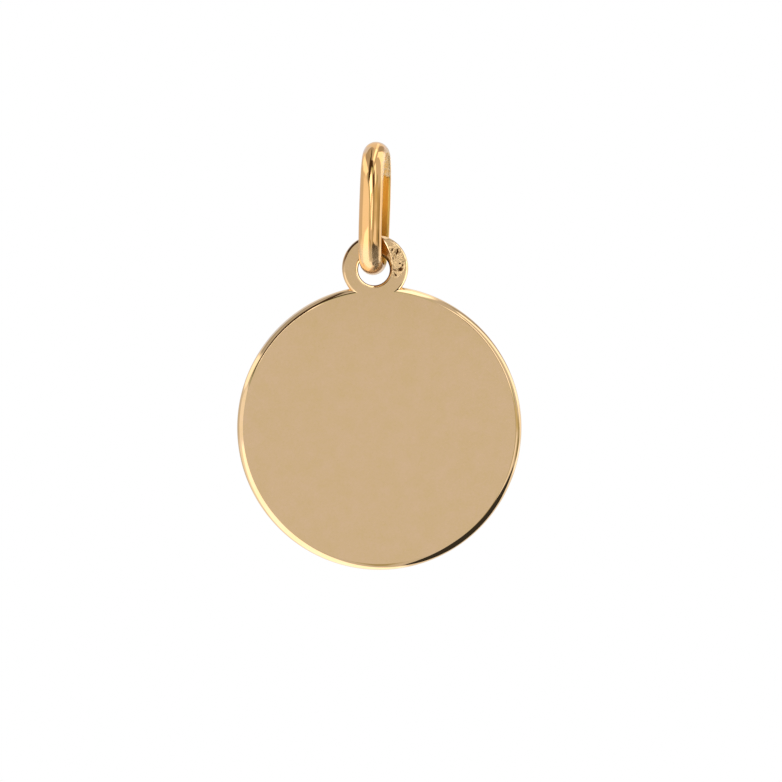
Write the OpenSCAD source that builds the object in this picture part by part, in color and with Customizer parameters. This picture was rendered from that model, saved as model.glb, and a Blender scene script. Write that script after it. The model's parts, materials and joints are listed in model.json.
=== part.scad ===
// Round medal pendant: a plain polished plate with an ear, hanging from an oval bail.
// Millimetres, +Z up, front of the plate towards -Y.
// The origin is where the chain bears: the middle of the bail's inner face, at its top.

/* [Plate] */
// Diameter of the round plate
plate_d = 16; // [14:0.5:20]
// Thickness of the plate and of its ear
plate_t = 0.8; // [0.75:0.05:1.2]
// Rounding of the plate's rim
rim_round = 0.33; // [0.1:0.01:0.34]

/* [Ear] */
// Outside diameter of the ear
ear_d = 3.72; // [3.4:0.02:4.4]
// How far the ear's middle lies outside the plate's rim
ear_out = 0.99; // [0.8:0.01:1.2]
// Rounding of the ear's edge
ear_round = 0.22; // [0.1:0.01:0.3]
// Diameter of the hole through the ear
hole_d = 1.78; // [1.7:0.01:1.9]
// Rounding of the hole's two mouths
mouth_round = 0.22; // [0.1:0.01:0.3]
// How far the hole is punched to the left of the ear's middle
hole_left = 0.07; // [0:0.01:0.1]
// How far the hole is punched below the ear's middle
hole_drop = 0.09; // [0:0.01:0.1]

/* [Bail] */
// Height of the bail, outside
bail_h = 7.5; // [7:0.1:9]
// Depth of the bail from front to back, outside
bail_depth = 3.9; // [3.8:0.1:4.6]
// Width of the half-round wire
wire_w = 1.3; // [1.1:0.01:1.36]
// Thickness of the half-round wire, from its flat to its crown
wire_t = 0.62; // [0.5:0.01:0.66]
// Rounding of the two edges of the wire's flat
wire_round = 0.12; // [0.05:0.01:0.15]

/* [Hang] */
// Turn of the bail about the vertical, rear limb to the right, in degrees
bail_turn = 8.9; // [0:0.1:12]
// Lean of the bail, top to the right, in degrees
bail_lean = 3.34; // [0:0.01:5]
// How far the wire lies to the left of the hole's middle
wire_left = 0.065; // [0:0.005:0.08]

/* [Hidden] */
$fn = 96;

// Cut length past each face, so that the hole is open
cut_over = 1;
// The mouth's rounding ends this far outside the face, in a fine edge
mouth_over = 0.004;

ear_rise = plate_d / 2 + ear_out;
hole_r = hole_d / 2;
wire_drop = bail_h - 1.5 * wire_t;
hole_x = wire_left - wire_drop * sin(bail_lean);
hole_z = -wire_drop * cos(bail_lean);
plate_x = hole_x + hole_left;
plate_z = hole_z - ear_rise + hole_drop;

// The wire's crown is an arc that runs into the two edge roundings
crown_r = (pow(wire_w / 2 - wire_round, 2) + pow(wire_t - wire_round, 2) - pow(wire_round, 2))
    / (2 * (wire_t - 2 * wire_round));
crown_x = wire_t - crown_r;
// Distance of the edge roundings' centres from the wire's middle, and where they meet the crown
edge_y = wire_w / 2 - wire_round;
meet_x = crown_x + (wire_round - crown_x) * crown_r / (crown_r - wire_round);

// The bail is two straight limbs between two half-round bends
bend_r = bail_depth / 2;
limb_half = bail_h / 2 - bend_r;

// Half-round wire section: flat on the Y axis, crown towards +X
module wire_section() {
    intersection() {
        translate([crown_x, 0]) circle(crown_r);
        translate([meet_x, -wire_w]) square([wire_t, 2 * wire_w]);
    }
    translate([0, -edge_y]) square([meet_x, 2 * edge_y]);
    for (side = [-1, 1])
        intersection() {
            translate([wire_round, side * edge_y]) circle(wire_round);
            translate([0, -wire_w]) square([meet_x, 2 * wire_w]);
        }
}

// Half of the bail, with the flat of the wire inwards: the top bend, and the limb on its right
module half_bail() {
    translate([0, limb_half])
        rotate_extrude(angle = 180)
            translate([bend_r - wire_t, 0]) wire_section();
    rotate([90, 0, 0])
        translate([0, 0, -limb_half]) linear_extrude(2 * limb_half)
            translate([bend_r - wire_t, 0]) wire_section();
}

// Disc with a rounded edge, its axis along Y
module rounded_disc(d, edge) {
    straight = plate_t / 2 - edge;
    rotate([90, 0, 0])
        rotate_extrude() {
            translate([0, -plate_t / 2]) square([d / 2 - edge, plate_t]);
            translate([0, -straight]) square([d / 2, 2 * straight]);
            for (side = [-1, 1])
                translate([d / 2 - edge, side * straight]) circle(edge);
        }
}

// What the punch takes out of the ear, with both mouths rounded
module hole_cut() {
    straight = plate_t / 2 - mouth_round + mouth_over;
    mouth_r = hole_r + mouth_round;
    rotate([90, 0, 0])
        rotate_extrude()
            difference() {
                translate([0, -plate_t / 2 - cut_over]) square([mouth_r, plate_t + 2 * cut_over]);
                translate([hole_r, -straight]) square([2 * mouth_round, 2 * straight]);
                for (side = [-1, 1])
                    translate([mouth_r, side * straight]) circle(mouth_round);
            }
}

module bail() {
    color("goldenrod")
        rotate([0, bail_lean, 0]) rotate([0, 0, -bail_turn])
            translate([0, 0, wire_t - bail_h / 2]) rotate([90, 0, 90])
                for (end = [0, 180]) rotate([0, 0, end]) half_bail();
}

module medal() {
    color("tan")
        difference() {
            translate([plate_x, 0, plate_z]) {
                rounded_disc(plate_d, rim_round);
                translate([0, 0, ear_rise]) rounded_disc(ear_d, ear_round);
            }
            translate([hole_x, 0, hole_z]) hole_cut();
        }
}

bail();
medal();
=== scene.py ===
"""Round polished gold medal with an ear, hanging from an oval bail of half-round wire."""
import json
import math

import bmesh
import bpy
from mathutils import Matrix, Vector, noise
from mathutils.geometry import delaunay_2d_cdt


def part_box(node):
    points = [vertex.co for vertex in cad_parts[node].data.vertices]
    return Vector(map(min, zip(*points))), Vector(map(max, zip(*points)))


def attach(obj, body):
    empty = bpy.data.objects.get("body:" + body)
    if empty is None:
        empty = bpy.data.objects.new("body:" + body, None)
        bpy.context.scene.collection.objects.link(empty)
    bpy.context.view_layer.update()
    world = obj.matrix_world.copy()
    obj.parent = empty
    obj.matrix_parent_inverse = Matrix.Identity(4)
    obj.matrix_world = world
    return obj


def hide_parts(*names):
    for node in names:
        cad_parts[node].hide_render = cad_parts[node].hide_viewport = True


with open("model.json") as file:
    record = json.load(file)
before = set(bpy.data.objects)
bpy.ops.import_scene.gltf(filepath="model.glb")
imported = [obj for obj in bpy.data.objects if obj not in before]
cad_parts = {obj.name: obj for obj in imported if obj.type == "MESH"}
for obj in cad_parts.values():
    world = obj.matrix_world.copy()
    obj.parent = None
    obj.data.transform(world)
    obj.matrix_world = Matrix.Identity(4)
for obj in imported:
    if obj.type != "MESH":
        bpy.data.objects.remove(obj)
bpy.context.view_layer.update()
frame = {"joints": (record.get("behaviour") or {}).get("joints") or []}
medal_low, medal_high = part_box("medal")
hole_x, _, hole_z = frame["joints"][0]["pos_m"]

# Lengths are in metres, written as millimetres times MM
MM = 0.001

# The ragged borders of the struck marks come from seeded noise, so that every run gives the same
MARKS_SEED = 8
noise.seed_set(MARKS_SEED)

# Plate, ear and hole. The frame gives the places and the plate's size, and the ear and the hole
# repeat the solid medal's, with edges rounded a touch less
HALF_T = (medal_high.y - medal_low.y) / 2
PLATE_R = (medal_high.x - medal_low.x) / 2
PLATE_X = (medal_high.x + medal_low.x) / 2
PLATE_Z = medal_low.z + PLATE_R
EAR_R = 1.86 * MM
EAR_Z = medal_high.z - EAR_R
HOLE_R = 0.89 * MM
EAR_ROUND = 0.2 * MM
MOUTH_ROUND = 0.2 * MM

# The faces break into the rounded edges at a small angle, and the plate's edge is one full round
BREAK = math.radians(15)
RIM_BREAK = math.radians(11)
RIM_ROUND = HALF_T / math.cos(RIM_BREAK)

# Where a rounded edge is burnished, its front has one slope, from one share of facing to another.
# It is burnished between two angles round the ear and round the hole, in degrees
BURNISHED = Vector((-0.061, -0.995, 0.078))
BURNISH_FROM = 0.62
BURNISH_TO = 0.85
EAR_BURNISHED = (-44, 48)
MOUTH_BURNISHED = (146, 270)

# Struck front of the ear, in millimetres from its middle: the roughened stretch (right, up, half
# width, half height) and how steeply it comes in, the grain in it (size, height) and where that
# is cut out of the noise, how far the borders of the marks are ragged and how finely, and the
# step over which slopes are taken
STRUCK_AREA = (1.12, 0.36, 0.62, 1.0)
STRUCK_STEEP = 3
STRUCK_GRAIN = ((0.19, 0.007), (0.09, 0.0025))
GRAIN_PLACE = 7.3
STRUCK_RAGGED = 0.05
STRUCK_RAGGED_SCALE = 9
SLOPE_STEP = 0.004

# Hollow worn in the ear at the hole, in millimetres from the ear's middle: middle and radius of
# its border, slope, width of the break, half width and height of the lip along it, half width of
# the lip's burnished top and where that starts and ends upwards, where the hollow ends below, and
# the length over which it fades there and at the ear's middle
HOLLOW_PLACE = (-2.17, -0.1)
HOLLOW_R = 3.165
HOLLOW_SLOPE = 0.28
HOLLOW_BREAK = 0.03
HOLLOW_LIP = (0.055, 0.011)
LIP_BURNISHED = 0.03
LIP_BURNISHED_UP = (-0.12, 1.5)
HOLLOW_FOOT = -0.35
HOLLOW_FADE = 0.3

# Plain dents and raised lips that the punch left, in millimetres from the ear's middle. A lip has
# a negative depth
STRUCK = (
    # right, up, half length, half width, turn in degrees, depth
    (1.27, 0.86, 0.25, 0.07, 69, 0.06),
    (1.38, 0.84, 0.22, 0.06, 69, -0.022),
    (1.15, 0.90, 0.20, 0.06, 69, -0.022),
    (0.99, 0.985, 0.11, 0.05, 80, 0.04),
    (0.95, 0.76, 0.28, 0.065, -62, -0.03),
    (1.16, 0.62, 0.20, 0.06, 93, -0.026),
    (1.03, 0.50, 0.09, 0.06, 20, 0.02),
    (1.60, 0.52, 0.27, 0.07, -55, -0.036),
    (1.52, 0.36, 0.14, 0.06, -35, -0.03),
    (1.41, 0.23, 0.075, 0.06, 0, 0.05),
    (1.55, 0.10, 0.09, 0.06, 60, 0.05),
    (1.42, -0.13, 0.19, 0.12, 28, 0.055),
    (1.40, -0.11, 0.08, 0.035, 75, -0.03),
    (1.10, -0.15, 0.19, 0.05, -24, 0.035),
    (1.12, -0.05, 0.18, 0.05, -24, -0.018),
    (1.16, -0.43, 0.13, 0.07, -48, 0.055),
    (1.04, -0.29, 0.11, 0.07, -50, -0.028),
)

# The push of the struck marks fades from this share of the way out to the front, over this much
PRESS_FROM = 0.4
PRESS_FADE = 0.5

# Steps round the plate, the ear, the hole and each rounding
PLATE_STEPS = 420
EAR_STEPS = 150
HOLE_STEPS = 132
ROUND_STEPS = 12

# Nets of points in the flat faces: the wide one, the fine one where the ear is pressed in, with
# its place from the ear's middle, and the margin that both leave at the edges
WIDE_NET = 0.55 * MM
FINE_NET = 0.024 * MM
FINE_RIGHT = -0.03 * MM
FINE_UP = (-0.95 * MM, 1.8 * MM)
NET_MARGIN = 0.05 * MM

# Raw and darkened places of the medal: rawness where it is struck, painted shade on the hole's wall,
# how far its wall reaches, and the depths in millimetres between which a dent fills with painted shade
STRUCK_RAW = 0.7
HOLE_SHADE = 0.75
WALL_REACH = 0.045 * MM
DENT_SHADE_FROM = 0.005
DENT_SHADE_OVER = 0.013

# A painted dark reflection along the ear's front edge: its distances from the edge in millimetres,
# then stretches round the ear, in degrees. The long one on the left grows at its start, and weakens
# from an angle on, over some more degrees
DARK_REFLECTION_RING = (-0.14, -0.03)
TOP_DARK_REFLECTION = (62, 88)
TOP_DARK_REFLECTION_SHARE = 0.35
LEFT_DARK_REFLECTION = (110, 225)
LEFT_DARK_REFLECTION_SHARE = 0.93
DARK_REFLECTION_RISE = 10
DARK_REFLECTION_WEAKENS = (160, 20)
DARK_REFLECTION_LOSS = 0.6

# Bail, as in the solid one: outside height and depth, the wire's section, how it turns and leans,
# then how square its oval is and how finely it is swept
BAIL_H = 7.5 * MM
BAIL_DEPTH = 3.9 * MM
WIRE_W = 1.3 * MM
WIRE_T = 0.62 * MM
WIRE_ROUND = 0.12 * MM
BAIL_TURN = math.radians(8.9)
BAIL_LEAN = math.radians(3.34)
BAIL_SQUARENESS = 3.0
BAIL_STEP = 0.045 * MM
PATH_STEPS = 4000
CROWN_STEPS = 44
EDGE_STEPS = 12
WELD = 0.001 * MM

# Hand finish of the bail: slow waves, and a rough lump of solder at the front of its foot
WAVE_SIZE = 1.1
WAVE_HEIGHT = 0.006 * MM
SOLDER_PLACE = Vector((-0.164 * MM, -6.22 * MM))
SOLDER_R = 0.33 * MM
SOLDER_HEIGHT = 0.03 * MM
SOLDER_GRAIN = 0.03 * MM
SOLDER_GRAIN_SIZE = 0.13

# Zones of the bail, in millimetres from its middle: its inside, as a share of the inner oval, the
# height where the frost starts, with the ragged line of its border (size, height), the side where
# the right flank starts, the width over which both come in, and where the foot is rubbed dull
INSIDE_OVAL = 1.06
FROST_HEIGHT = 1.75
FROST_RAGGED = ((0.4, 0.5), (0.15, 0.25))
FLANK_FROM = 0.5
ZONE_FADE = 0.15
RUBBED_FROM = 2.0
RUBBED_OVER = 0.5

# How strong each finish of the bail is, as a share, then the frost's grain: its size in
# millimetres, its even part and its uneven part
INSIDE_RAW = 0.8
RUBBED_SHARE = 0.4
SOLDER_FROST = 0.75
FROST_GRAIN = 0.11
FROST_EVEN = 0.7
FROST_UNEVEN = 1.1

# Dirt on the bail: round the solder between two shares of it, on the solder and along the frost's
# border, and how much darker the inside gets towards the bottom, from where and over what length in
# millimetres
SOLDER_RIM = (0.01, 0.3)
SOLDER_RIM_DIRT = 0.5
SOLDER_DIRT = 0.15
BORDER_TO = 0.8
BORDER_DIRT = 0.75
LOW_INSIDE_DARKENING = 0.55
LOW_INSIDE_DARKENING_FROM = -0.3
LOW_INSIDE_DARKENING_OVER = 2.4

# Camera: level, in front, rolled a little, so that the medal hangs as in the picture
PICTURE_WIDTH = 44.0 * MM
CAMERA_AWAY = 400 * MM
CAMERA_AIM = Vector((0.464 * MM, 0, -13.417 * MM))
CAMERA_ROLL = math.radians(1.5)
SENSOR = 36.0

# Floor: far below, and wide, with its own glow in the middle and at the edge
FLOOR_Z = -150 * MM
FLOOR_R = 1200 * MM
FLOOR_COLOUR = (0.85, 0.85, 0.85, 1)
FLOOR_ROUGH = 0.7
FLOOR_GLOW = (0.15, 0.6)

# Colours of the gold, of its frost and of dirt and painted shade on it, as linear light, and how much
# its clouds tint it
MEDAL_GOLD = (0.93, 0.654, 0.365)
BAIL_GOLD = (0.99, 0.585, 0.245)
MEDAL_RAW = (0.62, 0.42, 0.215)
BAIL_RAW = (0.96, 0.63, 0.13)
FROST = (0.88, 0.68, 0.43)
DIRT_AND_SHADE = (0.12, 0.046, 0.013)
YELLOWER = (0.955, 0.96, 0.86)
PINKER = (1.025, 1.015, 1.14)

# Polish: depth of its relief, each set of hairlines (turn, seed) with their stretch and the noise
# between which they show, clouds, mottle, pins and grain (noise scale to a millimetre, detail),
# and what each adds to the tone, the relief and the roughness
BUMP_DEPTH = 0.0012 * MM
HAIRLINES = ((21, 3.1), (-38, 8.7), (74, 5.2), (-81, 1.9))
HAIRLINE_STRETCH = (0.7, 0.7, 24)
HAIRLINE_SHOWS = (0.76, 0.9)
CLOUD = (1.3, 4)
MOTTLE = (7, 2)
MOTTLE_SHARE = 0.8
PINS = (9, 0)
PIN_FROM = 0.8
PIN_DEPTH = 0.06
GRAIN = (16, 2)
GRAIN_HEIGHT = 1.5
LINE_TONE = 0.3
PIN_TONE = 0.2
RAW_ROUGH = 0.28
LINE_ROUGH = 0.15
FROST_ROUGH = 0.35
FROST_DULL = 0.5


def number_math(tree, operation, first, second=0.0):
    """A Math node on two sockets or numbers. Gives its output socket."""
    node = tree.nodes.new("ShaderNodeMath")
    node.operation = operation
    for socket, value in zip(node.inputs, (first, second)):
        if isinstance(value, bpy.types.NodeSocket):
            tree.links.new(value, socket)
        else:
            socket.default_value = value
    return node.outputs["Value"]


def vector_math(tree, operation, first, second=None):
    """A Vector Math node on two sockets. Gives its output socket."""
    node = tree.nodes.new("ShaderNodeVectorMath")
    node.operation = operation
    tree.links.new(first, node.inputs[0])
    if second is not None:
        tree.links.new(second, node.inputs[1])
    return node.outputs["Value" if operation == "LENGTH" else "Vector"]


class Skin:
    """A surface in the making: its points, its faces and the true normal at each face corner."""

    def __init__(self):
        self.points = []
        self.faces = []
        self.normals = []

    def add_points(self, points):
        """Takes a row of points in and gives their numbers."""
        first = len(self.points)
        self.points.extend(points)
        return list(range(first, len(self.points)))

    def add_face(self, corners, normals):
        """Adds one face, turned so that it looks the way its normals do."""
        a, b, c = (self.points[i] for i in corners[:3])
        if (b - a).cross(c - a).dot(sum(normals, Vector())) < 0:
            corners, normals = corners[::-1], normals[::-1]
        self.faces.append(tuple(corners))
        self.normals.append(list(normals))

    def add_grid(self, rows, normal_rows):
        """Adds the quads between rows of point numbers."""
        for row, next_row, ns, next_ns in zip(rows, rows[1:], normal_rows, normal_rows[1:]):
            for i in range(len(row) - 1):
                corners = (row[i], row[i + 1], next_row[i + 1], next_row[i])
                self.add_face(corners, [ns[i], ns[i + 1], next_ns[i + 1], next_ns[i]])

    def to_object(self, name, press=None):
        """Makes the mesh object. press(point) gives how deep a point is pushed in, and the slopes."""
        points = self.points
        normals = self.normals
        if press:
            pushed = [press(p) for p in self.points]
            points = [p + Vector((0, push.y, 0)) for p, push in zip(self.points, pushed)]
            normals = [[n - n.y * Vector((pushed[i].x, 0, pushed[i].z)) for i, n in zip(face, ns)]
                       for face, ns in zip(self.faces, self.normals)]
        mesh = bpy.data.meshes.new(name)
        mesh.from_pydata(points, [], self.faces)
        mesh.shade_smooth()
        mesh.normals_split_custom_set([n.normalized() for ns in normals for n in ns])
        made = bpy.data.objects.new(name, mesh)
        bpy.context.scene.collection.objects.link(made)
        return made


def rise(value, start, over):
    """Share that grows from 0 at the start to 1, over some length."""
    return min(1.0, max(0.0, (value - start) / over))


def along(first, last, steps):
    """Evenly spaced values from first to last."""
    return [first + (last - first) * i / steps for i in range(steps + 1)]


def store_share(piece, name, share):
    """Stores a share from 0 to 1 on each point of a piece, as share(point) gives it."""
    values = [float(share(v.co)) for v in piece.data.vertices]
    piece.data.attributes.new(name, "FLOAT", "POINT").data.foreach_set("value", values)


def on_circle(centre_x, centre_z, radius, angle, y):
    """Point of a circle that faces the camera, at height y through the plate."""
    return Vector((centre_x + radius * math.cos(angle), y, centre_z + radius * math.sin(angle)))


def break_angle(rounding):
    """Angle at which a face breaks into a rounded edge."""
    return RIM_BREAK if rounding == RIM_ROUND else BREAK


def into_rounding(y, rounding):
    """How far a height lies into a rounded edge, as a share of the rounding."""
    start = HALF_T - rounding * math.cos(break_angle(rounding))
    return min(1.0, max(0.0, abs(y) - start) / rounding)


def rounded_radius(y, radius, rounding):
    """Radius of a disc with a rounded edge, at height y through the plate."""
    return radius - rounding * (1 - math.sqrt(1 - into_rounding(y, rounding) ** 2))


def edge_normal(y, angle, rounding, outward=1):
    """Normal of a rounded edge, at height y through the plate."""
    over = into_rounding(y, rounding)
    side = outward * math.sqrt(1 - over ** 2)
    return Vector((side * math.cos(angle), math.copysign(over, y), side * math.sin(angle)))


def burnished_normal(y, angle, rounding, outward, stretch):
    """Normal of a rounded edge whose front is burnished between two angles."""
    normal = edge_normal(y, angle, rounding, outward)
    inside = stretch[0] < math.degrees(angle) < stretch[1]
    return BURNISHED if inside and BURNISH_FROM < -normal.y < BURNISH_TO else normal


def heights(roundings):
    """Heights through the plate, from front to back, at which the roundings are cut into rings."""
    found = set()
    for rounding in roundings:
        start = HALF_T - rounding * math.cos(break_angle(rounding))
        for angle in along(break_angle(rounding), math.pi / 2, ROUND_STEPS):
            found.add(round(start + rounding * math.cos(angle), 9))
    found = sorted(found)
    return [-h for h in reversed(found) if h > 0] + found


def outline_arcs(y):
    """The arcs of plate and ear at a height: centre, radius, first angle and last angle of each."""
    plate = rounded_radius(y, PLATE_R, RIM_ROUND)
    ear = rounded_radius(y, EAR_R, EAR_ROUND)
    apart = EAR_Z - PLATE_Z
    at_plate = math.acos((apart ** 2 + plate ** 2 - ear ** 2) / (2 * apart * plate))
    at_ear = math.acos((apart ** 2 + ear ** 2 - plate ** 2) / (2 * apart * ear))
    right = math.pi / 2
    return ((PLATE_Z, plate, right - at_plate, right + at_plate - 2 * math.pi),
            (EAR_Z, ear, 3 * right - at_ear, at_ear - right))


def medal_rim(skin):
    """The edge of plate and ear, in rings from front to back. Gives the front and back rings."""
    rings = []
    plate_rows, plate_normals, ear_rows, ear_normals = [], [], [], []
    for y in heights((RIM_ROUND, EAR_ROUND)):
        plate_arc, ear_arc = outline_arcs(y)
        angles = along(plate_arc[2], plate_arc[3], PLATE_STEPS)
        plate = skin.add_points([on_circle(PLATE_X, PLATE_Z, plate_arc[1], a, y) for a in angles])
        plate_rows.append(plate)
        plate_normals.append([edge_normal(y, a, RIM_ROUND) for a in angles])
        angles = along(ear_arc[2], ear_arc[3], EAR_STEPS)
        ear = skin.add_points([on_circle(PLATE_X, EAR_Z, ear_arc[1], a, y) for a in angles[1:-1]])
        ear_rows.append([plate[-1]] + ear + [plate[0]])
        ear_normals.append([burnished_normal(y, a, EAR_ROUND, 1, EAR_BURNISHED) for a in angles])
        rings.append(plate + ear)
    skin.add_grid(plate_rows, plate_normals)
    skin.add_grid(ear_rows, ear_normals)
    return rings[0], rings[-1]


def mouth_radius(y):
    """Radius of the hole at a height through the plate, wider at its rounded mouths."""
    return HOLE_R + MOUTH_ROUND * (1 - math.sqrt(1 - into_rounding(y, MOUTH_ROUND) ** 2))


def medal_hole(skin):
    """The wall and mouths of the hole. Gives its front and back rings."""
    angles = along(0, 2 * math.pi, HOLE_STEPS)
    rows, normals = [], []
    for y in heights((MOUTH_ROUND,)):
        points = [on_circle(hole_x, hole_z, mouth_radius(y), a, y) for a in angles[:-1]]
        row = skin.add_points(points)
        rows.append(row + row[:1])
        normals.append([burnished_normal(y, a, MOUTH_ROUND, -1, MOUTH_BURNISHED) for a in angles])
    skin.add_grid(rows, normals)
    return rows[0][:-1], rows[-1][:-1]


def flat_points(y, fine):
    """Points inside a flat face: a wide net, and a fine one where the ear is pressed in."""
    top_plate = rounded_radius(HALF_T, PLATE_R, RIM_ROUND)
    top_ear = rounded_radius(HALF_T, EAR_R, EAR_ROUND)
    top_hole = mouth_radius(HALF_T)
    found = []

    def inside(x, z):
        on_plate = math.hypot(x - PLATE_X, z - PLATE_Z) < top_plate - NET_MARGIN
        on_ear = math.hypot(x - PLATE_X, z - EAR_Z) < top_ear - NET_MARGIN
        off_hole = math.hypot(x - hole_x, z - hole_z) > top_hole + NET_MARGIN
        return (on_plate or on_ear) and off_hole

    def pressed(x, z):
        return x - PLATE_X > FINE_RIGHT and FINE_UP[0] < z - EAR_Z < FINE_UP[1]

    def net(step, keep):
        count = int(PLATE_R / step) + 1
        for i in range(-count, count + 1):
            for j in range(-count, 2 * count):
                x, z = PLATE_X + i * step, PLATE_Z + j * step
                if inside(x, z) and keep(x, z):
                    found.append(Vector((x, y, z)))

    net(WIDE_NET, lambda x, z: not (fine and pressed(x, z)))
    if fine:
        net(FINE_NET, pressed)
    return found


def medal_face(skin, outer, hole, fine):
    """A flat face of the medal, between the ring of its edge and the ring of the hole."""
    y = skin.points[outer[0]].y
    inner = skin.add_points(flat_points(y, fine))
    used = outer + hole + inner
    flat = [Vector((skin.points[i].x, skin.points[i].z)) / MM for i in used]
    bounds = [(i, (i + 1) % len(outer)) for i in range(len(outer))]
    start = len(outer)
    bounds += [(start + i, start + (i + 1) % len(hole)) for i in range(len(hole))]
    _, _, triangles, sources, _, _ = delaunay_2d_cdt(flat, bounds, [], 1, 1e-7)
    normal = Vector((0, math.copysign(1, y), 0))
    hole_middle = Vector((hole_x, hole_z)) / MM
    hole_edge = mouth_radius(HALF_T) * math.cos(math.pi / HOLE_STEPS)
    for triangle in triangles:
        corners = [sources[i][0] for i in triangle]
        middle = sum((flat[i] for i in corners), Vector((0, 0))) / 3
        if (middle - hole_middle).length * MM > hole_edge:
            skin.add_face(tuple(used[i] for i in corners), [normal] * 3)


def dent(across, up, mark):
    """Depth of one struck mark at a place on the ear, in millimetres."""
    right, above, half_long, half_wide, turn, depth = mark
    angle = math.radians(turn)
    ragged = STRUCK_RAGGED * noise.noise_vector(Vector((across, up, above)) * STRUCK_RAGGED_SCALE)
    x, z = across - right + ragged.x, up - above + ragged.y
    share = (((x * math.cos(angle) + z * math.sin(angle)) / half_long) ** 2
             + ((z * math.cos(angle) - x * math.sin(angle)) / half_wide) ** 2)
    return depth * (1 - share) ** 2 if share < 1 else 0.0


def struck_share(across, up):
    """How far a place lies inside the stretch of the ear that the punch has roughened."""
    right, above, half_wide, half_high = STRUCK_AREA
    share = ((across - right) / half_wide) ** 2 + ((up - above) / half_high) ** 2
    return min(1.0, max(0.0, (1 - share) * STRUCK_STEEP))


def inside_hollow(across, up):
    """How far a place lies inside the border of the worn hollow, in millimetres."""
    return HOLLOW_R - math.hypot(across - HOLLOW_PLACE[0], up - HOLLOW_PLACE[1])


def worn_hollow(across, up):
    """Depth of the hollow that the bail has worn at the hole's upper right, in millimetres."""
    inside = inside_hollow(across, up)
    half_wide, height = HOLLOW_LIP
    share = rise(across, 0, HOLLOW_FADE) * rise(up, HOLLOW_FOOT, HOLLOW_FADE)
    lip = height * max(0.0, 1 - (inside / half_wide) ** 2) ** 2
    if inside < HOLLOW_BREAK:
        return share * (HOLLOW_SLOPE * max(0.0, inside) ** 2 / (2 * HOLLOW_BREAK) - lip)
    return share * (HOLLOW_SLOPE * (inside - HOLLOW_BREAK / 2) - lip)


def ear_depth(across, up):
    """How deep the front of the ear is pushed in at a place, in millimetres."""
    depth = worn_hollow(across, up) + sum(dent(across, up, mark) for mark in STRUCK)
    share = struck_share(across, up)
    if share:
        for size, height in STRUCK_GRAIN:
            depth += share * height * noise.noise(Vector((across / size, up / size, GRAIN_PLACE)))
    return depth


def on_ear(point):
    """Where a point lies on the ear: to the right of its middle and above it, in millimetres."""
    return (point.x - PLATE_X) / MM, (point.z - EAR_Z) / MM


def medal_raw(point):
    """How raw the medal is at a point: where it is struck, and on the wall of the hole."""
    on_front = STRUCK_RAW * struck_share(*on_ear(point)) if point.y < 0 else 0.0
    return max(on_front, hole_wall(point))


def hole_wall(point):
    """Whether a point is on the wall of the hole."""
    return math.hypot(point.x - hole_x, point.z - hole_z) < HOLE_R + WALL_REACH


def painted_edge_reflection(point):
    """How strong the painted dark reflection is along the ear's front edge."""
    across, up = on_ear(point)
    off = math.hypot(across, up) - EAR_R / MM
    angle = math.degrees(math.atan2(up, across)) % 360
    if point.y > 0 or not DARK_REFLECTION_RING[0] < off < DARK_REFLECTION_RING[1]:
        return 0.0
    if TOP_DARK_REFLECTION[0] < angle < TOP_DARK_REFLECTION[1]:
        return TOP_DARK_REFLECTION_SHARE
    if not LEFT_DARK_REFLECTION[0] < angle < LEFT_DARK_REFLECTION[1]:
        return 0.0
    strong = LEFT_DARK_REFLECTION_SHARE - DARK_REFLECTION_LOSS * rise(angle, *DARK_REFLECTION_WEAKENS)
    return strong * rise(angle, LEFT_DARK_REFLECTION[0], DARK_REFLECTION_RISE)


def medal_painted_shade(point):
    """How dark a point of the medal is: painted shade in the struck dents and on the hole's wall, and
    a painted dark reflection at the ear's edge.
    """
    if hole_wall(point):
        return HOLE_SHADE
    if point.y > 0 or struck_share(*on_ear(point)) == 0:
        return painted_edge_reflection(point)
    # Painted shade: the deeper a dent, the darker it is drawn
    depth = sum(dent(*on_ear(point), mark) for mark in STRUCK)
    return rise(depth, DENT_SHADE_FROM, DENT_SHADE_OVER)


def ear_press(point):
    """Push and slopes of the ear's front at a point, for the struck marks and the worn hollow."""
    across, up = on_ear(point)
    front = rise(-point.y / HALF_T, PRESS_FROM, PRESS_FADE)
    if front == 0 or across < 0 or abs(up) > EAR_R / MM:
        return Vector((0, 0, 0))
    here = ear_depth(across, up)
    on_lip = abs(inside_hollow(across, up)) < LIP_BURNISHED
    if on_lip and LIP_BURNISHED_UP[0] < up < LIP_BURNISHED_UP[1]:
        return front * Vector((BURNISHED.x, here * MM, BURNISHED.z))
    slope_x = (ear_depth(across + SLOPE_STEP, up) - here) / SLOPE_STEP
    slope_z = (ear_depth(across, up + SLOPE_STEP) - here) / SLOPE_STEP
    return front * Vector((slope_x, here * MM, slope_z))


def make_medal(material):
    """The round plate and its ear, in one piece."""
    skin = Skin()
    front, back = medal_rim(skin)
    hole_front, hole_back = medal_hole(skin)
    medal_face(skin, front, hole_front, fine=True)
    medal_face(skin, back, hole_back, fine=False)
    medal = skin.to_object("medal_gold_piece", ear_press)
    store_share(medal, "raw", medal_raw)
    # Painted shade in the dents and on the hole's wall, and a painted dark reflection along the ear's
    # edge
    store_share(medal, "dirt_and_shade", medal_painted_shade)
    medal.data.materials.append(material)
    return medal


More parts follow.
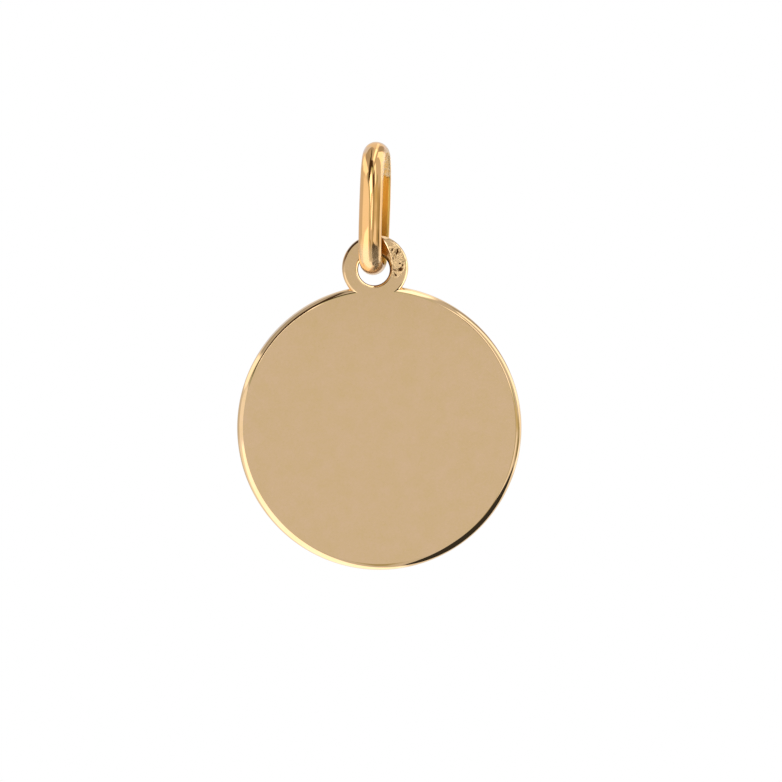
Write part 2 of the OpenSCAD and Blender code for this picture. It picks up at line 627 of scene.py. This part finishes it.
def wire_section():
    """Outline of the half-round wire: flat on the Y axis, crown towards +X, with rounded edges."""
    half = WIRE_W / 2 - WIRE_ROUND
    crown_r = ((half ** 2 + (WIRE_T - WIRE_ROUND) ** 2 - WIRE_ROUND ** 2)
               / (2 * (WIRE_T - 2 * WIRE_ROUND)))
    crown_x = WIRE_T - crown_r
    lean = math.atan2(half, WIRE_ROUND - crown_x)
    crown = [(crown_x + crown_r * math.cos(a), crown_r * math.sin(a))
             for a in along(-lean, lean, CROWN_STEPS)]
    edge = [(WIRE_ROUND + WIRE_ROUND * math.cos(a), half + WIRE_ROUND * math.sin(a))
            for a in along(lean, math.pi, EDGE_STEPS)[1:]]
    flat = [(0, y) for y in along(half, -half, EDGE_STEPS)[1:-1]]
    other_edge = [(x, -y) for x, y in reversed(edge)]
    return crown + edge + flat + other_edge


def section_curve():
    """The wire's section as a closed curve, for the sweep."""
    curve = bpy.data.curves.new("wire_section", "CURVE")
    curve.dimensions = "3D"
    outline = wire_section()
    spline = curve.splines.new("POLY")
    spline.points.add(len(outline) - 1)
    for point, (x, y) in zip(spline.points, outline):
        point.co = (x, y, 0, 1)
    spline.use_cyclic_u = True
    made = bpy.data.objects.new("wire_section", curve)
    bpy.context.scene.collection.objects.link(made)
    return made


def power_of_side(tree, value, power):
    """A number's size to a power, with its sign kept."""
    size = number_math(tree, "POWER", number_math(tree, "ABSOLUTE", value), power)
    return number_math(tree, "MULTIPLY", number_math(tree, "SIGN", value), size)


def sweep_tree():
    """Node tree that sweeps a section along an upright oval, squarer than an ellipse."""
    tree = bpy.data.node_groups.new("oval_link", "GeometryNodeTree")
    sockets = tree.interface
    for name, kind in (("Inner Depth", "NodeSocketFloat"), ("Inner Height", "NodeSocketFloat"),
                       ("Squareness", "NodeSocketFloat"), ("Step", "NodeSocketFloat"),
                       ("Round Steps", "NodeSocketInt"), ("Section", "NodeSocketObject"),
                       ("Material", "NodeSocketMaterial")):
        sockets.new_socket(name, in_out="INPUT", socket_type=kind)
    sockets.new_socket("Geometry", in_out="OUTPUT", socket_type="NodeSocketGeometry")
    node = tree.nodes.new
    link = tree.links.new
    sizes = node("NodeGroupInput").outputs
    round_path = node("GeometryNodeCurvePrimitiveCircle")
    round_path.inputs["Radius"].default_value = 1
    link(sizes["Round Steps"], round_path.inputs["Resolution"])
    place = node("ShaderNodeSeparateXYZ")
    link(node("GeometryNodeInputPosition").outputs["Position"], place.inputs["Vector"])
    power = number_math(tree, "DIVIDE", 2.0, sizes["Squareness"])
    oval_place = node("ShaderNodeCombineXYZ")
    for axis, size in (("X", "Inner Depth"), ("Y", "Inner Height")):
        side = power_of_side(tree, place.outputs[axis], power)
        half = number_math(tree, "MULTIPLY", sizes[size], 0.5)
        link(number_math(tree, "MULTIPLY", side, half), oval_place.inputs[axis])
    oval = node("GeometryNodeSetPosition")
    link(round_path.outputs["Curve"], oval.inputs["Geometry"])
    link(oval_place.outputs["Vector"], oval.inputs["Position"])
    even = node("GeometryNodeResampleCurve")
    even.mode = "LENGTH"
    link(oval.outputs["Geometry"], even.inputs["Curve"])
    link(sizes["Step"], even.inputs["Length"])
    section = node("GeometryNodeObjectInfo")
    link(sizes["Section"], section.inputs["Object"])
    sweep = node("GeometryNodeCurveToMesh")
    link(even.outputs["Curve"], sweep.inputs["Curve"])
    link(section.outputs["Geometry"], sweep.inputs["Profile Curve"])
    realize = node("GeometryNodeRealizeInstances")
    link(sweep.outputs["Mesh"], realize.inputs["Geometry"])
    finish = node("GeometryNodeSetMaterial")
    link(realize.outputs["Geometry"], finish.inputs["Geometry"])
    link(sizes["Material"], finish.inputs["Material"])
    link(finish.outputs["Geometry"], node("NodeGroupOutput").inputs["Geometry"])
    return tree


def bake_nodes(name, tree, values):
    """A plain mesh object from a node tree, with its named inputs set to these values."""
    host = bpy.data.objects.new(name + "_nodes", bpy.data.meshes.new(name + "_nodes"))
    bpy.context.scene.collection.objects.link(host)
    modifier = host.modifiers.new("nodes", "NODES")
    modifier.node_group = tree
    for item in tree.interface.items_tree:
        if item.item_type == "SOCKET" and item.in_out == "INPUT":
            modifier[item.identifier] = values[item.name]
    evaluated = host.evaluated_get(bpy.context.evaluated_depsgraph_get())
    mesh = bpy.data.meshes.new_from_object(evaluated)
    mesh.name = name
    bpy.data.objects.remove(host)
    made = bpy.data.objects.new(name, mesh)
    bpy.context.scene.collection.objects.link(made)
    return made


def bail_place():
    """Where the oval of the sweep goes: upright, front to back, turned and leaning as it hangs."""
    upright = Matrix.Rotation(math.pi / 2, 4, "Z") @ Matrix.Rotation(math.pi / 2, 4, "X")
    drop = Matrix.Translation((0, 0, WIRE_T - BAIL_H / 2))
    hang = Matrix.Rotation(BAIL_LEAN, 4, "Y") @ Matrix.Rotation(-BAIL_TURN, 4, "Z")
    return hang @ drop @ upright


def solder_share(point):
    """How far a point of the bail lies inside the lump of solder at its foot."""
    off = (Vector((point.x, point.z)) - SOLDER_PLACE).length / SOLDER_R
    return max(0.0, 1 - off ** 4) if point.y < 0 else 0.0


def bail_zones(point):
    """Shares at a point of the bail: on the inside of the link, high up, and on its right flank."""
    local = bail_place().inverted() @ point
    across = abs(local.x) / (BAIL_DEPTH / 2 - WIRE_T)
    up = abs(local.y) / (BAIL_H / 2 - WIRE_T)
    inside = (across ** BAIL_SQUARENESS + up ** BAIL_SQUARENESS) < INSIDE_OVAL
    ragged = sum(height * noise.noise(point / MM / size) for size, height in FROST_RAGGED)
    high = rise(local.y / MM + ragged, FROST_HEIGHT, ZONE_FADE)
    flank = rise(local.z / MM, FLANK_FROM, ZONE_FADE)
    return inside, high, flank


def below_middle(point):
    """How far a point of the bail lies below its middle, in millimetres."""
    return (bail_place().inverted() @ point).y / -MM


def bail_raw(point):
    """How raw the bail's surface is at a point: the inside of the link was left unpolished."""
    return INSIDE_RAW * bail_zones(point)[0]


def bail_frost(point):
    """How matt the bail is: high up inside and on its right flank, on the solder and at its foot."""
    inside, high, flank = bail_zones(point)
    in_front = point.y < 0 and not inside
    rubbed = rise(below_middle(point), RUBBED_FROM, RUBBED_OVER) if in_front else 0.0
    grain = FROST_EVEN + FROST_UNEVEN * noise.noise(point / MM / FROST_GRAIN)
    matt = max(high * max(inside, flank), SOLDER_FROST * solder_share(point))
    return max(min(1.0, max(0.0, grain)) * matt, RUBBED_SHARE * rubbed)


def bail_dirt_and_darkening(point):
    """How dark a point of the bail is: dirt lies round the solder and the frost, and the inside of the
    link is darker towards the bottom.
    """
    inside, high, _ = bail_zones(point)
    solder = solder_share(point)
    on_rim = SOLDER_RIM[0] < solder < SOLDER_RIM[1]
    dirt = SOLDER_RIM_DIRT if on_rim else SOLDER_DIRT * solder
    dirt += BORDER_DIRT * (0 < high < BORDER_TO) * inside
    return max(dirt, LOW_INSIDE_DARKENING * rise(below_middle(point), LOW_INSIDE_DARKENING_FROM, LOW_INSIDE_DARKENING_OVER) * inside)


def finish_by_hand(mesh):
    """Gives the bail the slight waves of hand polishing and its lump of solder."""
    moves = []
    for vertex in mesh.vertices:
        place = vertex.co / MM
        wave = WAVE_HEIGHT * noise.noise(place / WAVE_SIZE)
        share = solder_share(vertex.co)
        lump = share * (SOLDER_HEIGHT + SOLDER_GRAIN * noise.noise(place / SOLDER_GRAIN_SIZE))
        moves.append(vertex.normal * (wave + lump))
    for vertex, move in zip(mesh.vertices, moves):
        vertex.co += move


def make_bail(material):
    """The oval link of half-round wire that the chain runs through."""
    section = section_curve()
    values = {"Inner Depth": BAIL_DEPTH - 2 * WIRE_T, "Inner Height": BAIL_H - 2 * WIRE_T,
              "Squareness": BAIL_SQUARENESS, "Step": BAIL_STEP, "Round Steps": PATH_STEPS,
              "Section": section, "Material": material}
    bail = bake_nodes("bail_gold_piece", sweep_tree(), values)
    bpy.data.objects.remove(section)
    bail.data.transform(bail_place())
    work = bmesh.new()
    work.from_mesh(bail.data)
    bmesh.ops.remove_doubles(work, verts=work.verts, dist=WELD)
    bmesh.ops.recalc_face_normals(work, faces=work.faces)
    work.to_mesh(bail.data)
    work.free()
    finish_by_hand(bail.data)
    store_share(bail, "raw", bail_raw)
    store_share(bail, "frost", bail_frost)
    store_share(bail, "dirt_and_shade", bail_dirt_and_darkening)
    bail.data.shade_smooth()
    return bail


def fine_noise(tree, place, scale, detail):
    """A noise texture at a place in millimetres."""
    field = tree.nodes.new("ShaderNodeTexNoise")
    field.inputs["Scale"].default_value = scale
    field.inputs["Detail"].default_value = detail
    tree.links.new(place, field.inputs["Vector"])
    return field.outputs["Fac"]


def hairlines(tree, place, turn, seed):
    """Mask of fine straight scratches that run one way."""
    aim = tree.nodes.new("ShaderNodeVectorRotate")
    aim.rotation_type = "Y_AXIS"
    aim.inputs["Angle"].default_value = math.radians(turn)
    tree.links.new(place, aim.inputs["Vector"])
    stretch = tree.nodes.new("ShaderNodeMapping")
    stretch.inputs["Location"].default_value = (seed, seed * 1.7, 0)
    stretch.inputs["Scale"].default_value = HAIRLINE_STRETCH
    tree.links.new(aim.outputs["Vector"], stretch.inputs["Vector"])
    line = tree.nodes.new("ShaderNodeMapRange")
    line.inputs["From Min"].default_value = HAIRLINE_SHOWS[0]
    line.inputs["From Max"].default_value = HAIRLINE_SHOWS[1]
    tree.links.new(fine_noise(tree, stretch.outputs["Vector"], 1, 0), line.inputs["Value"])
    return line.outputs["Result"]


def polish_group():
    """Node group: hand polish with faint scratches, clouds and pin marks, and raw places."""
    group = bpy.data.node_groups.new("hand_polish", "ShaderNodeTree")
    for name in ("Raw", "Polish", "Scratches", "Clouds"):
        group.interface.new_socket(name, in_out="INPUT", socket_type="NodeSocketFloat")
    for name in ("Tone", "Roughness", "Height"):
        group.interface.new_socket(name, in_out="OUTPUT", socket_type="NodeSocketFloat")
    given = group.nodes.new("NodeGroupInput").outputs
    in_mm = group.nodes.new("ShaderNodeMapping")
    in_mm.inputs["Scale"].default_value = (1 / MM, 1 / MM, 1 / MM)
    group.links.new(group.nodes.new("ShaderNodeTexCoord").outputs["Object"], in_mm.inputs["Vector"])
    place = in_mm.outputs["Vector"]
    lines = 0.0
    for turn, seed in HAIRLINES:
        lines = number_math(group, "MAXIMUM", hairlines(group, place, turn, seed), lines)
    scratched = number_math(group, "MULTIPLY", lines, given["Scratches"])
    clouds = number_math(group, "SUBTRACT", fine_noise(group, place, *CLOUD), 0.5)
    mottle = number_math(group, "SUBTRACT", fine_noise(group, place, *MOTTLE), 0.5)
    clouds = number_math(group, "ADD", clouds, number_math(group, "MULTIPLY", mottle, MOTTLE_SHARE))
    clouded = number_math(group, "MULTIPLY", clouds, given["Clouds"])
    pins = number_math(group, "GREATER_THAN", fine_noise(group, place, *PINS), PIN_FROM)
    pinned = number_math(group, "MULTIPLY", pins, PIN_DEPTH)
    grain = number_math(group, "MULTIPLY", fine_noise(group, place, *GRAIN), given["Raw"])
    tone = number_math(group, "ADD", 0.5, clouded)
    tone = number_math(group, "SUBTRACT", tone, number_math(group, "MULTIPLY", lines, LINE_TONE))
    tone = number_math(group, "SUBTRACT", tone, number_math(group, "MULTIPLY", pins, PIN_TONE))
    raw_rough = number_math(group, "MULTIPLY", given["Raw"], RAW_ROUGH)
    rough = number_math(group, "ADD", given["Polish"], raw_rough)
    rough = number_math(group, "ADD", rough, number_math(group, "MULTIPLY", scratched, LINE_ROUGH))
    grown = number_math(group, "MULTIPLY", grain, GRAIN_HEIGHT)
    height = number_math(group, "SUBTRACT", grown, scratched)
    height = number_math(group, "SUBTRACT", height, pinned)
    out = group.nodes.new("NodeGroupOutput").inputs
    for name, value in (("Tone", tone), ("Roughness", rough), ("Height", height)):
        group.links.new(value, out[name])
    return group


def blend_colour(tree, share, first, second):
    """Mixes two colours or sockets by a share. Gives the output socket."""
    mix = tree.nodes.new("ShaderNodeMix")
    mix.data_type = "RGBA"
    tree.links.new(share, mix.inputs["Factor"])
    for socket, value in zip([i for i in mix.inputs if i.type == "RGBA"], (first, second)):
        if isinstance(value, bpy.types.NodeSocket):
            tree.links.new(value, socket)
        else:
            socket.default_value = (*value, 1)
    return [o for o in mix.outputs if o.type == "RGBA"][0]


def gold(name, group, colour, raw_colour, polish, scratches, clouds):
    """Polished gold, with its own polish, scratches and clouds."""
    material = bpy.data.materials.new(name)
    material.use_nodes = True
    tree = material.node_tree
    shader = tree.nodes["Principled BSDF"]
    raw = tree.nodes.new("ShaderNodeAttribute")
    raw.attribute_name = "raw"
    finish = tree.nodes.new("ShaderNodeGroup")
    finish.node_tree = group
    tree.links.new(raw.outputs["Fac"], finish.inputs["Raw"])
    finish.inputs["Polish"].default_value = polish
    finish.inputs["Scratches"].default_value = scratches
    finish.inputs["Clouds"].default_value = clouds
    deeper = [c * share for c, share in zip(colour, YELLOWER)]
    paler = [c * share for c, share in zip(colour, PINKER)]
    toned = blend_colour(tree, finish.outputs["Tone"], deeper, paler)
    metal = blend_colour(tree, raw.outputs["Fac"], toned, raw_colour)
    # The darkening attribute below holds dirt on the bail, and painted shade and a painted dark
    # reflection on the medal
    dirt_and_shade = tree.nodes.new("ShaderNodeAttribute")
    dirt_and_shade.attribute_name = "dirt_and_shade"
    dirtied_and_shaded = blend_colour(tree, dirt_and_shade.outputs["Fac"], metal, DIRT_AND_SHADE)
    frost = tree.nodes.new("ShaderNodeAttribute")
    frost.attribute_name = "frost"
    base = blend_colour(tree, frost.outputs["Fac"], dirtied_and_shaded, FROST)
    frosted = number_math(tree, "MULTIPLY", frost.outputs["Fac"], FROST_ROUGH)
    rough = number_math(tree, "ADD", finish.outputs["Roughness"], frosted)
    dull = number_math(tree, "MULTIPLY", frost.outputs["Fac"], FROST_DULL)
    tree.links.new(base, shader.inputs["Base Color"])
    tree.links.new(rough, shader.inputs["Roughness"])
    tree.links.new(number_math(tree, "SUBTRACT", 1, dull), shader.inputs["Metallic"])
    bump = tree.nodes.new("ShaderNodeBump")
    bump.inputs["Distance"].default_value = BUMP_DEPTH
    tree.links.new(finish.outputs["Height"], bump.inputs["Height"])
    tree.links.new(bump.outputs["Normal"], shader.inputs["Normal"])
    return material


def card_group():
    """Node group: where one soft-edged card stands on the chart of the studio."""
    group = bpy.data.node_groups.new("studio_card", "ShaderNodeTree")
    for name, kind in (("Chart", "NodeSocketVector"), ("Centre", "NodeSocketVector"),
                       ("Half Width", "NodeSocketFloat"), ("Half Height", "NodeSocketFloat"),
                       ("Turn", "NodeSocketFloat"), ("Widening", "NodeSocketFloat"),
                       ("Softness", "NodeSocketFloat")):
        group.interface.new_socket(name, in_out="INPUT", socket_type=kind)
    group.interface.new_socket("Mask", in_out="OUTPUT", socket_type="NodeSocketFloat")
    node = group.nodes.new
    link = group.links.new
    given = node("NodeGroupInput").outputs
    offset = vector_math(group, "SUBTRACT", given["Chart"], given["Centre"])
    turned = node("ShaderNodeVectorRotate")
    turned.rotation_type = "Z_AXIS"
    turned.invert = True
    link(offset, turned.inputs["Vector"])
    link(given["Turn"], turned.inputs["Angle"])
    place = node("ShaderNodeSeparateXYZ")
    link(turned.outputs["Vector"], place.inputs["Vector"])
    upper = number_math(group, "DIVIDE", place.outputs["Y"], given["Half Height"])
    wider = number_math(group, "ADD", number_math(group, "MULTIPLY", upper, given["Widening"]), 1)
    half_width = number_math(group, "MULTIPLY", wider, given["Half Width"])
    sideways = number_math(group, "ABSOLUTE", place.outputs["X"])
    upwards = number_math(group, "ABSOLUTE", place.outputs["Y"])
    outside = number_math(group, "MAXIMUM", number_math(group, "SUBTRACT", sideways, half_width),
                          number_math(group, "SUBTRACT", upwards, given["Half Height"]))
    inner = number_math(group, "MULTIPLY", given["Softness"], -1)
    edge = node("ShaderNodeMapRange")
    edge.interpolation_type = "SMOOTHSTEP"
    edge.inputs["To Min"].default_value = 1
    edge.inputs["To Max"].default_value = 0
    link(outside, edge.inputs["Value"])
    link(inner, edge.inputs["From Min"])
    link(given["Softness"], edge.inputs["From Max"])
    link(edge.outputs["Result"], node("NodeGroupOutput").inputs["Mask"])
    return group


def studio_chart(tree):
    """Chart of all directions: degrees to the right of and above the way to the camera."""
    place = tree.nodes.new("ShaderNodeTexCoord").outputs["Object"]
    parts = tree.nodes.new("ShaderNodeSeparateXYZ")
    tree.links.new(place, parts.inputs["Vector"])
    x, y, z = (parts.outputs[name] for name in "XYZ")
    off_axis = number_math(tree, "ARCCOSINE", number_math(tree, "MULTIPLY", y, -1))
    degrees = number_math(tree, "MULTIPLY", off_axis, math.degrees(1))
    across = number_math(tree, "ADD", number_math(tree, "MULTIPLY", x, x),
                         number_math(tree, "MULTIPLY", z, z))
    root = number_math(tree, "MAXIMUM", number_math(tree, "SQRT", across), 1e-6)
    scale = number_math(tree, "DIVIDE", degrees, root)
    chart = tree.nodes.new("ShaderNodeCombineXYZ")
    tree.links.new(number_math(tree, "MULTIPLY", x, scale), chart.inputs["X"])
    tree.links.new(number_math(tree, "MULTIPLY", z, scale), chart.inputs["Y"])
    return chart.outputs["Vector"]


# Tints of the studio's light: none, a little pink, olive, brown, cool as from a window, warm, and
# deep brown
PLAIN = (1.0, 1.0, 1.0)
PINK = (1.0, 0.94, 1.2)
OLIVE = (1.0, 1.15, 0.85)
BROWN = (1.0, 0.93, 0.6)
COOL = (0.86, 1.0, 1.4)
WARM = (1.0, 0.97, 0.9)
DEEP = (1.0, 0.6, 0.35)

# Screens and softboxes of the studio, as the gold sees them: degrees right of and above the way
# to the camera, sizes, turn and softness in degrees too, how much a card widens upwards, and
# light. The back cards stand behind the bent screens, and the front ones before them
BACK_CARDS = (
    # right, above, half width, half height, turn, widening upwards, softness, light, tint
    (0, 150, 200, 55, 0, 0, 8, 0.82, PLAIN),
    (0, -140, 200, 82, 0, 0, 10, 0.88, PLAIN),
    (-85, 72, 50, 24, 0, 0, 8, 0.82, PLAIN),
    (-85, 92, 55, 20, 0, 0, 8, 0.82, COOL),
    (-28, 73, 21, 34, -35, -0.5, 4, 0.44, PLAIN),
    (-68, 65, 15, 9, 20, 0, 3, 0.45, PLAIN),
    (85, 40, 42, 50, 0, 0, 8, 0.92, PINK),
    (75, 78, 30, 12, 0, 0, 8, 0.76, PLAIN),
    (50, 68, 9, 16, -15, 0, 3, 0.5, PLAIN),
    (-64, -22, 48, 36, 0, 0, 6, 0.98, PLAIN),
    (-60, 12, 38, 10, 0, 0, 6, 0.98, PLAIN),
    (70, -34, 52, 26, 0, 0, 6, 0.95, PLAIN),
    (-66, 37, 33, 11, -6, 0, 4, 1.55, PLAIN),
)
FRONT_CARDS = (
    # right, above, half width, half height, turn, widening upwards, softness, light, tint
    (18, 64, 8.5, 25, -28, 0.2, 3, 1.7, PLAIN),
    (27, 20, 5.5, 14, 30, 0.1, 2, 1.5, PLAIN),
    (-1, 26, 12, 6, 0, 0.2, 2, 0.5, OLIVE),
    (-42, 55, 8, 25, 50, 0, 2.5, 0.44, PLAIN),
    (-12, 38, 13, 7.5, -8, -0.3, 2, 0.06, DEEP),
    (-28, 27, 7, 3, 40, 0, 2, 0.35, OLIVE),
    (-7, 9, 7, 20, 51, 0.45, 2, 2.3, PLAIN),
    (-28, 12, 2.8, 18, 55, 0, 2, 0.38, OLIVE),
    (-9, -8, 4, 9, 0, 0, 2, 0.5, BROWN),
    (15.5, 13, 8.5, 8, 20, 0, 1.8, 0.1, DEEP),
    (24, -1, 6, 8, 10, 0, 2, 0.42, BROWN),
    (21, -14, 4, 8, 0, 0, 2, 0.42, BROWN),
    (-1, -36, 4, 20, 0, 0.3, 2, 0.42, BROWN),
    (49, 10, 6, 4.5, 0, 0, 2, 0.4, OLIVE),
    (45, 1, 12, 5, 0, 0, 3, 0.62, BROWN),
    (44, -11, 11, 8, 0, 0, 3, 0.95, PLAIN),
    (70, -1, 14, 4, 0, 0, 3, 0.48, BROWN),
    (68, -12, 9, 6, 0, 0, 3, 0.48, BROWN),
    (83, -6, 9, 5, 0, 0, 3, 0.36, BROWN),
    (83, -16, 9, 7, 0, 0, 3, 0.2, BROWN),
    (-114, 6, 26, 14, 0, 0, 6, 0.64, PLAIN),
    (118, -2, 12, 16, 0, 0, 5, 0.9, PLAIN),
    (0, 1.3, 4.2, 4, 0, 0, 0.6, 0.59, WARM),
    (0, -2.2, 4.2, 3.1, 0, 0, 0.5, 0.663, PLAIN),
)
STUDIO_LIGHT = (0.663, 0.663, 0.663)

# Long screens bent round the way to the camera, which the plate's edge shows as narrow bands. Each
# row gives an angle round that way, from the right and upwards, and the degrees off it between
# which the screen stands there. A later screen stands before the earlier ones
BENT_SCREENS = (
    # light, tint, rows
    (0.42, PLAIN, ((380, 110, 140), (395, 100, 140), (405, 90, 140), (415, 80, 130), (424, 84, 112))),
    (0.62, PLAIN, ((214, 22, 60), (240, 22, 60), (262, 22, 84), (290, 22, 84))),
    (0.42, PLAIN, ((102, 60, 110), (150, 44, 100))),
    (1.4, PLAIN, ((338, 106, 140), (350, 104, 140), (358, 98, 140), (365, 90, 140), (375, 84, 138),
                  (385, 78, 124), (395, 72, 110), (405, 68, 94), (415, 58, 84), (422, 56, 70))),
    (1.2, PLAIN, ((424, 80, 140), (438, 80, 140))),
    (0.5, PLAIN, ((108, 22, 100), (160, 22, 60))),
    (0.56, PLAIN, ((146, 22, 44), (156, 22, 56), (163, 22, 59))),
    (1.3, PLAIN, ((146, 46, 112), (156, 58, 122), (163, 66, 125))),
    (0.64, PLAIN, ((334, 22, 90), (350, 22, 104), (358, 22, 98), (365, 22, 90), (375, 22, 84),
                   (385, 22, 78), (395, 22, 72), (405, 22, 68), (415, 22, 50))),
    (0.58, PLAIN, ((411, 22, 50), (418, 22, 100), (424, 22, 96), (430, 22, 84), (438, 22, 86))),
    (1.5, PLAIN, ((184, 22, 56), (192, 22, 72), (200, 22, 86), (210, 22, 95), (220, 24, 110),
                  (235, 33, 125), (250, 50, 140), (262, 72, 140), (272, 90, 140),
                  (281, 108, 140))),
    (0.04, WARM, ((277, 78, 86), (286, 48, 108), (292, 36, 116), (300, 26, 124), (315, 26, 120),
                  (326, 32, 112), (332, 44, 100), (338, 60, 92), (344, 76, 84))),
)

# This one stands before all other screens and cards
DARK_SCREEN = (
    # light, tint, rows
    (0.06, DEEP, ((102, 80, 104), (105, 64, 92), (108, 50, 78), (114, 34, 62), (122, 26, 56),
                  (130, 26, 52), (142, 26, 46), (158, 28, 38))),
)

# Softness of a bent screen's long borders, and how far its ends fade, in degrees
SCREEN_SOFTNESS = 1.5
SCREEN_FADE = 3

# Far behind the pendant the studio is one plain wall, from so many degrees off the way to the camera
WALL_FROM = 156
WALL_TO = 168
WALL_LIGHT = (0.72, 0.72, 0.72)


def soft_step(tree, value, start):
    """Rises softly from 0 to 1 where a value passes its start."""
    step = tree.nodes.new("ShaderNodeMapRange")
    step.interpolation_type = "SMOOTHSTEP"
    step.inputs["From Min"].default_value = -SCREEN_SOFTNESS
    step.inputs["From Max"].default_value = SCREEN_SOFTNESS
    tree.links.new(number_math(tree, "SUBTRACT", value, start), step.inputs["Value"])
    return step.outputs["Result"]


def limit_curve(tree, share, rows, which):
    """One limit of a bent screen, in degrees, against the share of its length."""
    first, last = rows[0][0], rows[-1][0]
    curve = tree.nodes.new("ShaderNodeFloatCurve")
    points = curve.mapping.curves[0].points
    while len(points) < len(rows):
        points.new(0.5, 0.5)
    for point, row in zip(points, rows):
        point.location = ((row[0] - first) / (last - first), row[which] / 180)
        point.handle_type = "VECTOR"
    curve.mapping.update()
    tree.links.new(share, curve.inputs["Value"])
    return number_math(tree, "MULTIPLY", curve.outputs["Value"], 180)


def screen_mask(tree, off_way, around, rows):
    """Where a bent screen stands on the chart of the studio."""
    first, last = rows[0][0], rows[-1][0]
    past = number_math(tree, "FLOORED_MODULO", number_math(tree, "SUBTRACT", around, first), 360)
    share = number_math(tree, "MINIMUM", number_math(tree, "DIVIDE", past, last - first), 1)
    inner = soft_step(tree, off_way, limit_curve(tree, share, rows, 1))
    outer = soft_step(tree, limit_curve(tree, share, rows, 2), off_way)
    left = number_math(tree, "SUBTRACT", last - first, past)
    ends = number_math(tree, "DIVIDE", number_math(tree, "MINIMUM", past, left), SCREEN_FADE)
    ends = number_math(tree, "MAXIMUM", number_math(tree, "MINIMUM", ends, 1), 0)
    return number_math(tree, "MULTIPLY", number_math(tree, "MULTIPLY", inner, outer), ends)


def add_bent_screens(tree, chart, light, screens):
    """Puts bent screens before the light that stands behind them. Gives the new light."""
    parts = tree.nodes.new("ShaderNodeSeparateXYZ")
    tree.links.new(chart, parts.inputs["Vector"])
    around = number_math(tree, "MULTIPLY", math.degrees(1),
                         number_math(tree, "ARCTAN2", parts.outputs["Y"], parts.outputs["X"]))
    off_way = vector_math(tree, "LENGTH", chart)
    for strength, tint, rows in screens:
        light = blend_colour(tree, screen_mask(tree, off_way, around, rows), light,
                             [strength * c for c in tint])
    return light


def add_cards(tree, chart, light, group, cards):
    """Puts straight cards before the light that stands behind them. Gives the new light."""
    for right, above, half_w, half_h, turn, widening, softness, strength, tint in cards:
        card = tree.nodes.new("ShaderNodeGroup")
        card.node_tree = group
        tree.links.new(chart, card.inputs["Chart"])
        card.inputs["Centre"].default_value = (right, above, 0)
        card.inputs["Half Width"].default_value = half_w
        card.inputs["Half Height"].default_value = half_h
        card.inputs["Widening"].default_value = widening
        card.inputs["Turn"].default_value = math.radians(turn)
        card.inputs["Softness"].default_value = softness
        light = blend_colour(tree, card.outputs["Mask"], light, [strength * c for c in tint])
    return light


def make_world():
    """White round the picture; the gold sees a plain studio of soft screens."""
    world = bpy.data.worlds.new("studio")
    world.use_nodes = True
    bpy.context.scene.world = world
    tree = world.node_tree
    chart = studio_chart(tree)
    group = card_group()
    light = add_cards(tree, chart, STUDIO_LIGHT, group, BACK_CARDS)
    light = add_bent_screens(tree, chart, light, BENT_SCREENS)
    light = add_cards(tree, chart, light, group, FRONT_CARDS)
    light = add_bent_screens(tree, chart, light, DARK_SCREEN)
    behind = tree.nodes.new("ShaderNodeMapRange")
    behind.inputs["From Min"].default_value = WALL_FROM
    behind.inputs["From Max"].default_value = WALL_TO
    tree.links.new(vector_math(tree, "LENGTH", chart), behind.inputs["Value"])
    light = blend_colour(tree, behind.outputs["Result"], light, WALL_LIGHT)
    seen = tree.nodes.new("ShaderNodeLightPath").outputs["Is Camera Ray"]
    shown = blend_colour(tree, seen, light, PLAIN)
    tree.links.new(shown, tree.nodes["Background"].inputs["Color"])


def make_floor():
    """Plain pale floor far below the hanging pendant, which turns white towards its edge."""
    work = bmesh.new()
    bmesh.ops.create_circle(work, cap_ends=True, radius=FLOOR_R, segments=96)
    bmesh.ops.translate(work, verts=work.verts, vec=(0, 0, FLOOR_Z))
    mesh = bpy.data.meshes.new("floor")
    work.to_mesh(mesh)
    work.free()
    material = bpy.data.materials.new("pale_floor")
    material.use_nodes = True
    tree = material.node_tree
    shader = tree.nodes["Principled BSDF"]
    shader.inputs["Base Color"].default_value = FLOOR_COLOUR
    shader.inputs["Roughness"].default_value = FLOOR_ROUGH
    shader.inputs["Emission Color"].default_value = (1, 1, 1, 1)
    place = tree.nodes.new("ShaderNodeTexCoord").outputs["Object"]
    fade = tree.nodes.new("ShaderNodeMapRange")
    fade.inputs["From Max"].default_value = FLOOR_R
    fade.inputs["To Min"].default_value = FLOOR_GLOW[0]
    fade.inputs["To Max"].default_value = FLOOR_GLOW[1]
    tree.links.new(vector_math(tree, "LENGTH", place), fade.inputs["Value"])
    tree.links.new(fade.outputs["Result"], shader.inputs["Emission Strength"])
    mesh.materials.append(material)
    floor = bpy.data.objects.new("floor", mesh)
    bpy.context.scene.collection.objects.link(floor)
    floor.visible_glossy = False


def make_camera():
    """The camera, at the picture's angle."""
    data = bpy.data.cameras.new("camera")
    data.sensor_width = SENSOR
    data.lens = SENSOR * CAMERA_AWAY / PICTURE_WIDTH
    data.clip_start = 0.01
    data.clip_end = 100
    camera = bpy.data.objects.new("camera", data)
    bpy.context.scene.collection.objects.link(camera)
    level = Matrix.Rotation(CAMERA_ROLL, 4, "Y") @ Matrix.Rotation(math.pi / 2, 4, "X")
    camera.matrix_world = Matrix.Translation(CAMERA_AIM + Vector((0, -CAMERA_AWAY, 0))) @ level
    bpy.context.scene.camera = camera


hand_polish = polish_group()
medal = make_medal(gold("medal_gold", hand_polish, MEDAL_GOLD, MEDAL_RAW,
                        polish=0.05, scratches=0.03, clouds=1.0))
bail = make_bail(gold("bail_gold", hand_polish, BAIL_GOLD, BAIL_RAW,
                      polish=0.055, scratches=0.08, clouds=0.6))
for piece, node, slot in ((medal, "medal", "medal_gold"), (bail, "bail", "bail_gold")):
    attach(piece, node)
    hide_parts(node)
make_world()
make_floor()
make_camera()
bpy.context.scene.view_settings.view_transform = "Standard"
